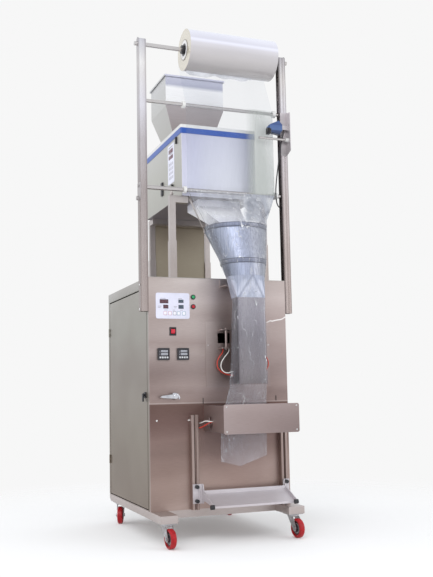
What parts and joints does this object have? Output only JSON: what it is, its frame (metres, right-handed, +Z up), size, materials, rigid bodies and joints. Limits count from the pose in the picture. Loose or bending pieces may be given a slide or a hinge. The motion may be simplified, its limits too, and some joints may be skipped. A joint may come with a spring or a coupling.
{
  "type": "vertical form fill seal machine",
  "caption": "Upright granule bagging machine on castors: film roll over posts, weigh feeder and hopper on top, cone former, sealing jaws and a small bag tray.",
  "frame": {"origin": "on the floor, under the middle of the machine's width and depth", "axes": "+X to the machine's right seen from its front, +Y to its back, +Z up"},
  "size_m": [0.69, 0.899, 2.099],
  "materials": {
    "stainless": "brushed",
    "cabinet_side": "satin",
    "frame_steel": "satin",
    "zinc": "polished",
    "red_tread": "matte",
    "black_plastic": "matte",
    "blue_plastic": "gloss",
    "white_plastic": "matte",
    "keypad_film": "gloss",
    "green_plastic": "gloss",
    "red_plastic": "gloss",
    "clear_film": "gloss",
    "roll_film": "gloss",
    "wire_red": "matte",
    "wire_white": "matte"
  },
  "bodies": {
    "frame": {"base_frame": "frame_steel", "castor_plates": "zinc", "front_panel": "stainless", "back_panel": "cabinet_side", "left_panel": "cabinet_side", "right_panel": "cabinet_side", "top_lid": "stainless", "panel_keypad": "keypad_film", "temperature_controllers": "black_plastic", "bezels_and_switches": "black_plastic", "film_posts": "stainless", "guide_bars": "stainless", "bar_collars": "white_plastic", "film_bracket": "stainless", "tension_plate": "stainless", "mark_sensor": "blue_plastic", "feeder_housing": "stainless", "feeder_lid": "white_plastic", "feeder_trim": "blue_plastic", "feeder_keypad": "keypad_film", "hopper": "stainless", "discharge_chute": "stainless", "feeder_stand": "stainless", "rear_plate": "cabinet_side", "former_cone": "stainless", "former_neck": "stainless", "forming_tube": "stainless", "former_brackets": "stainless", "sealer_mount": "stainless", "sealing_bar": "stainless", "jaw_box": "stainless", "sealing_jaws": "stainless", "tray_rails": "stainless", "film_web": "clear_film", "film_wrap": "clear_film", "film_bag": "clear_film", "sensor_cable": "black_plastic", "sealer_lead_red": "wire_red", "sealer_lead_white": "wire_white", "jaw_lead_red": "wire_red", "jaw_lead_white": "wire_white"},
    "film_reel": {"roll_shaft": "stainless", "film_roll": "roll_film", "roll_cones": "black_plastic"},
    "tray": {"bag_tray": "stainless", "tray_knobs": "black_plastic"},
    "door": {"left_door": "cabinet_side", "door_latch": "black_plastic"},
    "clutch_handle": {"panel_handle": "zinc"},
    "rocker": {"power_rocker": "red_plastic"},
    "start": {"start_button": "green_plastic"},
    "stop": {"stop_button": "red_plastic"},
    "fork_front_left": {"castor_fork_front_left": "zinc"},
    "wheel_front_left": {"castor_wheel_front_left": "red_tread"},
    "fork_front_right": {"castor_fork_front_right": "zinc"},
    "wheel_front_right": {"castor_wheel_front_right": "red_tread"},
    "fork_rear_left": {"castor_fork_rear_left": "zinc"},
    "wheel_rear_left": {"castor_wheel_rear_left": "red_tread"},
    "fork_rear_right": {"castor_fork_rear_right": "zinc"},
    "wheel_rear_right": {"castor_wheel_rear_right": "red_tread"}
  },
  "joints": [
    {"name": "film_reel_turn", "type": "hinge", "parent": "frame", "child": "film_reel", "pos_m": [0.08, -0.2065, 2.013], "axis": [1, 0, 0], "continuous": true},
    {"name": "tray_height", "type": "slide", "parent": "frame", "child": "tray", "axis": [0, 0, 1], "range_m": [-0.02, 0.05]},
    {"name": "power_rocker_tilt", "type": "hinge", "parent": "frame", "child": "rocker", "pos_m": [-0.201, -0.214, 0.826], "axis": [1, 0, 0], "range_deg": [-9, 9]},
    {"name": "left_door_swing", "type": "hinge", "parent": "frame", "child": "door", "pos_m": [-0.3035, 0.425, 0.574], "axis": [0, 0, -1], "range_deg": [0, 110]},
    {"name": "clutch_handle_turn", "type": "hinge", "parent": "frame", "child": "clutch_handle", "pos_m": [-0.199, -0.2415, 0.567], "axis": [0, 1, 0], "range_deg": [-35, 35]},
    {"name": "start_button_press", "type": "slide", "parent": "frame", "child": "start", "axis": [0, 1, 0], "range_m": [0, 0.003], "stiffness_N_per_m": 700, "springref_m": -0.001},
    {"name": "stop_button_press", "type": "slide", "parent": "frame", "child": "stop", "axis": [0, 1, 0], "range_m": [0, 0.003], "stiffness_N_per_m": 700, "springref_m": -0.001},
    {"name": "castor_swivel_front_left", "type": "hinge", "parent": "frame", "child": "fork_front_left", "pos_m": [-0.265, -0.3145, 0.085], "axis": [0, 0, 1], "continuous": true},
    {"name": "castor_roll_front_left", "type": "hinge", "parent": "fork_front_left", "child": "wheel_front_left", "pos_m": [-0.26166, -0.34632, 0.0375], "axis": [0.9945, 0.1045, 0], "continuous": true},
    {"name": "castor_swivel_front_right", "type": "hinge", "parent": "frame", "child": "fork_front_right", "pos_m": [0.265, -0.3145, 0.085], "axis": [0, 0, 1], "continuous": true},
    {"name": "castor_roll_front_right", "type": "hinge", "parent": "fork_front_right", "child": "wheel_front_right", "pos_m": [0.26835, -0.34632, 0.0375], "axis": [0.9945, 0.1045, 0], "continuous": true},
    {"name": "castor_swivel_rear_left", "type": "hinge", "parent": "frame", "child": "fork_rear_left", "pos_m": [-0.265, 0.3785, 0.085], "axis": [0, 0, 1], "continuous": true},
    {"name": "castor_roll_rear_left", "type": "hinge", "parent": "fork_rear_left", "child": "wheel_rear_left", "pos_m": [-0.27594, 0.34843, 0.0375], "axis": [0.9397, -0.342, 0], "continuous": true},
    {"name": "castor_swivel_rear_right", "type": "hinge", "parent": "frame", "child": "fork_rear_right", "pos_m": [0.265, 0.3785, 0.085], "axis": [0, 0, 1], "continuous": true},
    {"name": "castor_roll_rear_right", "type": "hinge", "parent": "fork_rear_right", "child": "wheel_rear_right", "pos_m": [0.25405, 0.34843, 0.0375], "axis": [0.9397, -0.342, 0], "continuous": true}
  ]
}
